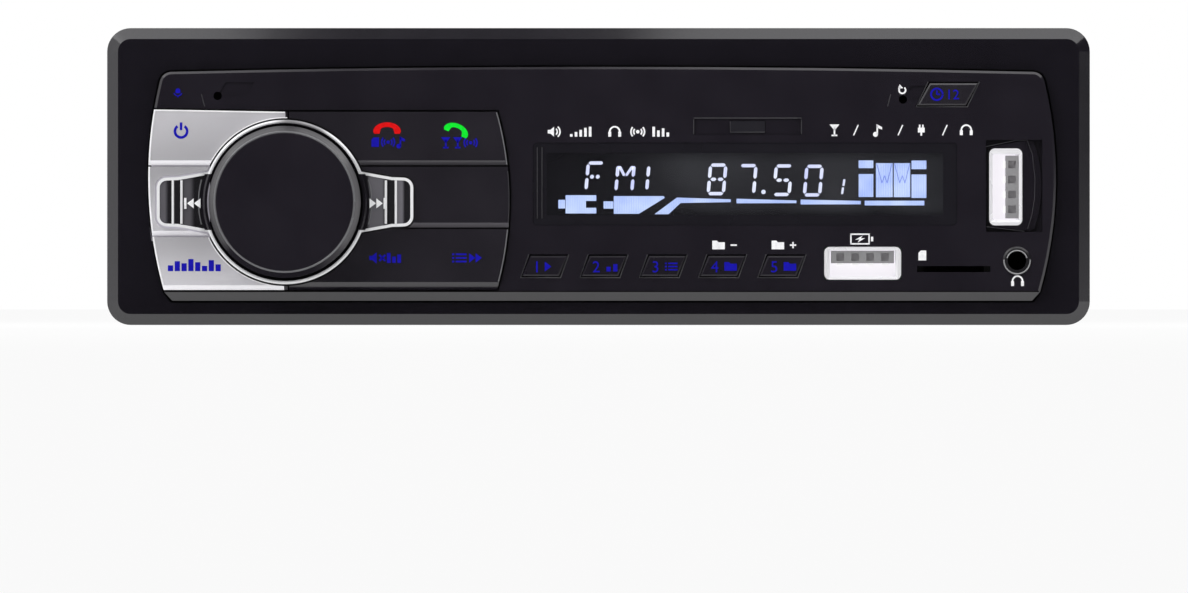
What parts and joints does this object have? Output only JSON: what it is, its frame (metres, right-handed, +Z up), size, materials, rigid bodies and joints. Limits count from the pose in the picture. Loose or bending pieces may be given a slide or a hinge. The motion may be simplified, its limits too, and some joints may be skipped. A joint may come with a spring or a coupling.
{
  "type": "car radio",
  "caption": "Single-DIN car radio with a rotary knob in a rocker ring, display, press keys, USB and card ports, mounting sleeve and rear sockets.",
  "frame": {"origin": "middle of the bounding box's underside, on the surface the radio stands on", "axes": "+X to the right as seen from the front, the front faces -Y, +Z up"},
  "size_m": [0.188, 0.0974, 0.0568],
  "materials": {
    "ring_plastic": "fine textured black",
    "bezel_plastic": "satin black",
    "key_plastic": "satin black",
    "knob_plastic": "satin black",
    "silver_paint": "silver paint on plastic",
    "chrome_plating": "plated plastic",
    "display_window": "polished dark acrylic",
    "display_glass": "polished",
    "light_guide": "polished clear acrylic",
    "lamp_body": "moulded",
    "infrared_window": "polished dark red acrylic",
    "white_plastic": "moulded white",
    "inner_plastic": "moulded black",
    "shaft_metal": "turned",
    "plated_steel": "tin plated",
    "zinc_steel": "galvanised sheet",
    "spring_steel": "rolled",
    "screw_steel": "zinc plated",
    "contact_metal": "gold flashed",
    "circuit_board": "solder mask",
    "capacitor_sleeve": "shrink sleeve",
    "choke_winding": "enamelled copper",
    "connector_plastic": "moulded black nylon",
    "fuse_plastic": "moulded translucent red",
    "socket_plastic": "moulded black",
    "sink_aluminium": "extruded"
  },
  "bodies": {
    "radio": {"trim_ring": "ring_plastic", "front_bezel": "bezel_plastic", "display_lens": "display_window", "lcd_panel": "display_glass", "backlight_guide": "light_guide", "board_lamps": "lamp_body", "remote_window": "infrared_window", "left_plate": "silver_paint", "right_plate": "bezel_plastic", "encoder_body": "inner_plastic", "usb_shells": "plated_steel", "usb_tongues": "white_plastic", "usb_contacts": "contact_metal", "usb_insert": "bezel_plastic", "card_reader": "plated_steel", "audio_jack": "inner_plastic", "jack_bush": "plated_steel", "front_board": "circuit_board", "key_switches": "inner_plastic", "remote_sensor": "infrared_window", "microphone": "plated_steel", "board_screws": "screw_steel", "board_header": "inner_plastic", "chassis_tray": "zinc_steel", "top_cover": "zinc_steel", "rear_panel": "zinc_steel", "cover_screws": "screw_steel", "main_board": "circuit_board", "tuner_can": "plated_steel", "amplifier_chip": "inner_plastic", "wireless_module": "plated_steel", "processor_chip": "inner_plastic", "capacitors": "capacitor_sleeve", "power_choke": "choke_winding", "power_connector": "connector_plastic", "connector_pins": "contact_metal", "fuse": "fuse_plastic", "line_out_sockets": "socket_plastic", "antenna_socket": "plated_steel", "rear_stud": "screw_steel", "heat_sink": "sink_aluminium", "chassis_screws": "screw_steel", "mounting_sleeve": "zinc_steel", "lock_springs": "spring_steel"},
    "power_key_body": {"power_key": "silver_paint"},
    "sound_key_body": {"sound_key": "silver_paint"},
    "call_key_body": {"call_key": "key_plastic"},
    "function_key_body": {"function_key": "key_plastic"},
    "clock_key_body": {"clock_key": "key_plastic"},
    "seek_body": {"seek_ring": "chrome_plating", "seek_inlays": "key_plastic"},
    "knob_plunger": {"encoder_plunger": "inner_plastic"},
    "knob": {"encoder_shaft": "shaft_metal", "knob_skirt": "knob_plastic", "knob_cap": "knob_plastic"},
    "preset_1_body": {"preset_key_1": "key_plastic"},
    "preset_2_body": {"preset_key_2": "key_plastic"},
    "preset_3_body": {"preset_key_3": "key_plastic"},
    "preset_4_body": {"preset_key_4": "key_plastic"},
    "preset_5_body": {"preset_key_5": "key_plastic"}
  },
  "joints": [
    {"name": "power_key_press", "type": "slide", "parent": "radio", "child": "power_key_body", "axis": [0, 1, 0], "range_m": [0, 0.0005], "stiffness_N_per_m": 800},
    {"name": "sound_key_press", "type": "slide", "parent": "radio", "child": "sound_key_body", "axis": [0, 1, 0], "range_m": [0, 0.0005], "stiffness_N_per_m": 800},
    {"name": "preset_key_1_press", "type": "slide", "parent": "radio", "child": "preset_1_body", "axis": [0, 1, 0], "range_m": [0, 0.0005], "stiffness_N_per_m": 800},
    {"name": "preset_key_2_press", "type": "slide", "parent": "radio", "child": "preset_2_body", "axis": [0, 1, 0], "range_m": [0, 0.0005], "stiffness_N_per_m": 800},
    {"name": "preset_key_3_press", "type": "slide", "parent": "radio", "child": "preset_3_body", "axis": [0, 1, 0], "range_m": [0, 0.0005], "stiffness_N_per_m": 800},
    {"name": "preset_key_4_press", "type": "slide", "parent": "radio", "child": "preset_4_body", "axis": [0, 1, 0], "range_m": [0, 0.0005], "stiffness_N_per_m": 800},
    {"name": "preset_key_5_press", "type": "slide", "parent": "radio", "child": "preset_5_body", "axis": [0, 1, 0], "range_m": [0, 0.0005], "stiffness_N_per_m": 800},
    {"name": "clock_key_press", "type": "slide", "parent": "radio", "child": "clock_key_body", "axis": [0, 1, 0], "range_m": [0, 0.0005], "stiffness_N_per_m": 800},
    {"name": "call_key_rock", "type": "hinge", "parent": "radio", "child": "call_key_body", "pos_m": [-0.034, -0.03525, 0.0356], "axis": [0, 0, 1], "range_deg": [-1.2, 1.2], "stiffness_Nm_per_rad": 0.4},
    {"name": "function_key_rock", "type": "hinge", "parent": "radio", "child": "function_key_body", "pos_m": [-0.034, -0.03525, 0.0118], "axis": [0, 0, 1], "range_deg": [-1.2, 1.2], "stiffness_Nm_per_rad": 0.4},
    {"name": "seek_rock", "type": "hinge", "parent": "radio", "child": "seek_body", "pos_m": [-0.0599, -0.03525, 0.0235], "axis": [0, 0, 1], "range_deg": [-1.5, 1.5], "stiffness_Nm_per_rad": 0.4},
    {"name": "knob_push", "type": "slide", "parent": "radio", "child": "knob_plunger", "axis": [0, 1, 0], "range_m": [0, 0.0005], "stiffness_N_per_m": 2500},
    {"name": "knob_turn", "type": "hinge", "parent": "knob_plunger", "child": "knob", "pos_m": [-0.0599, -0.04325, 0.0235], "axis": [0, -1, 0], "continuous": true}
  ]
}
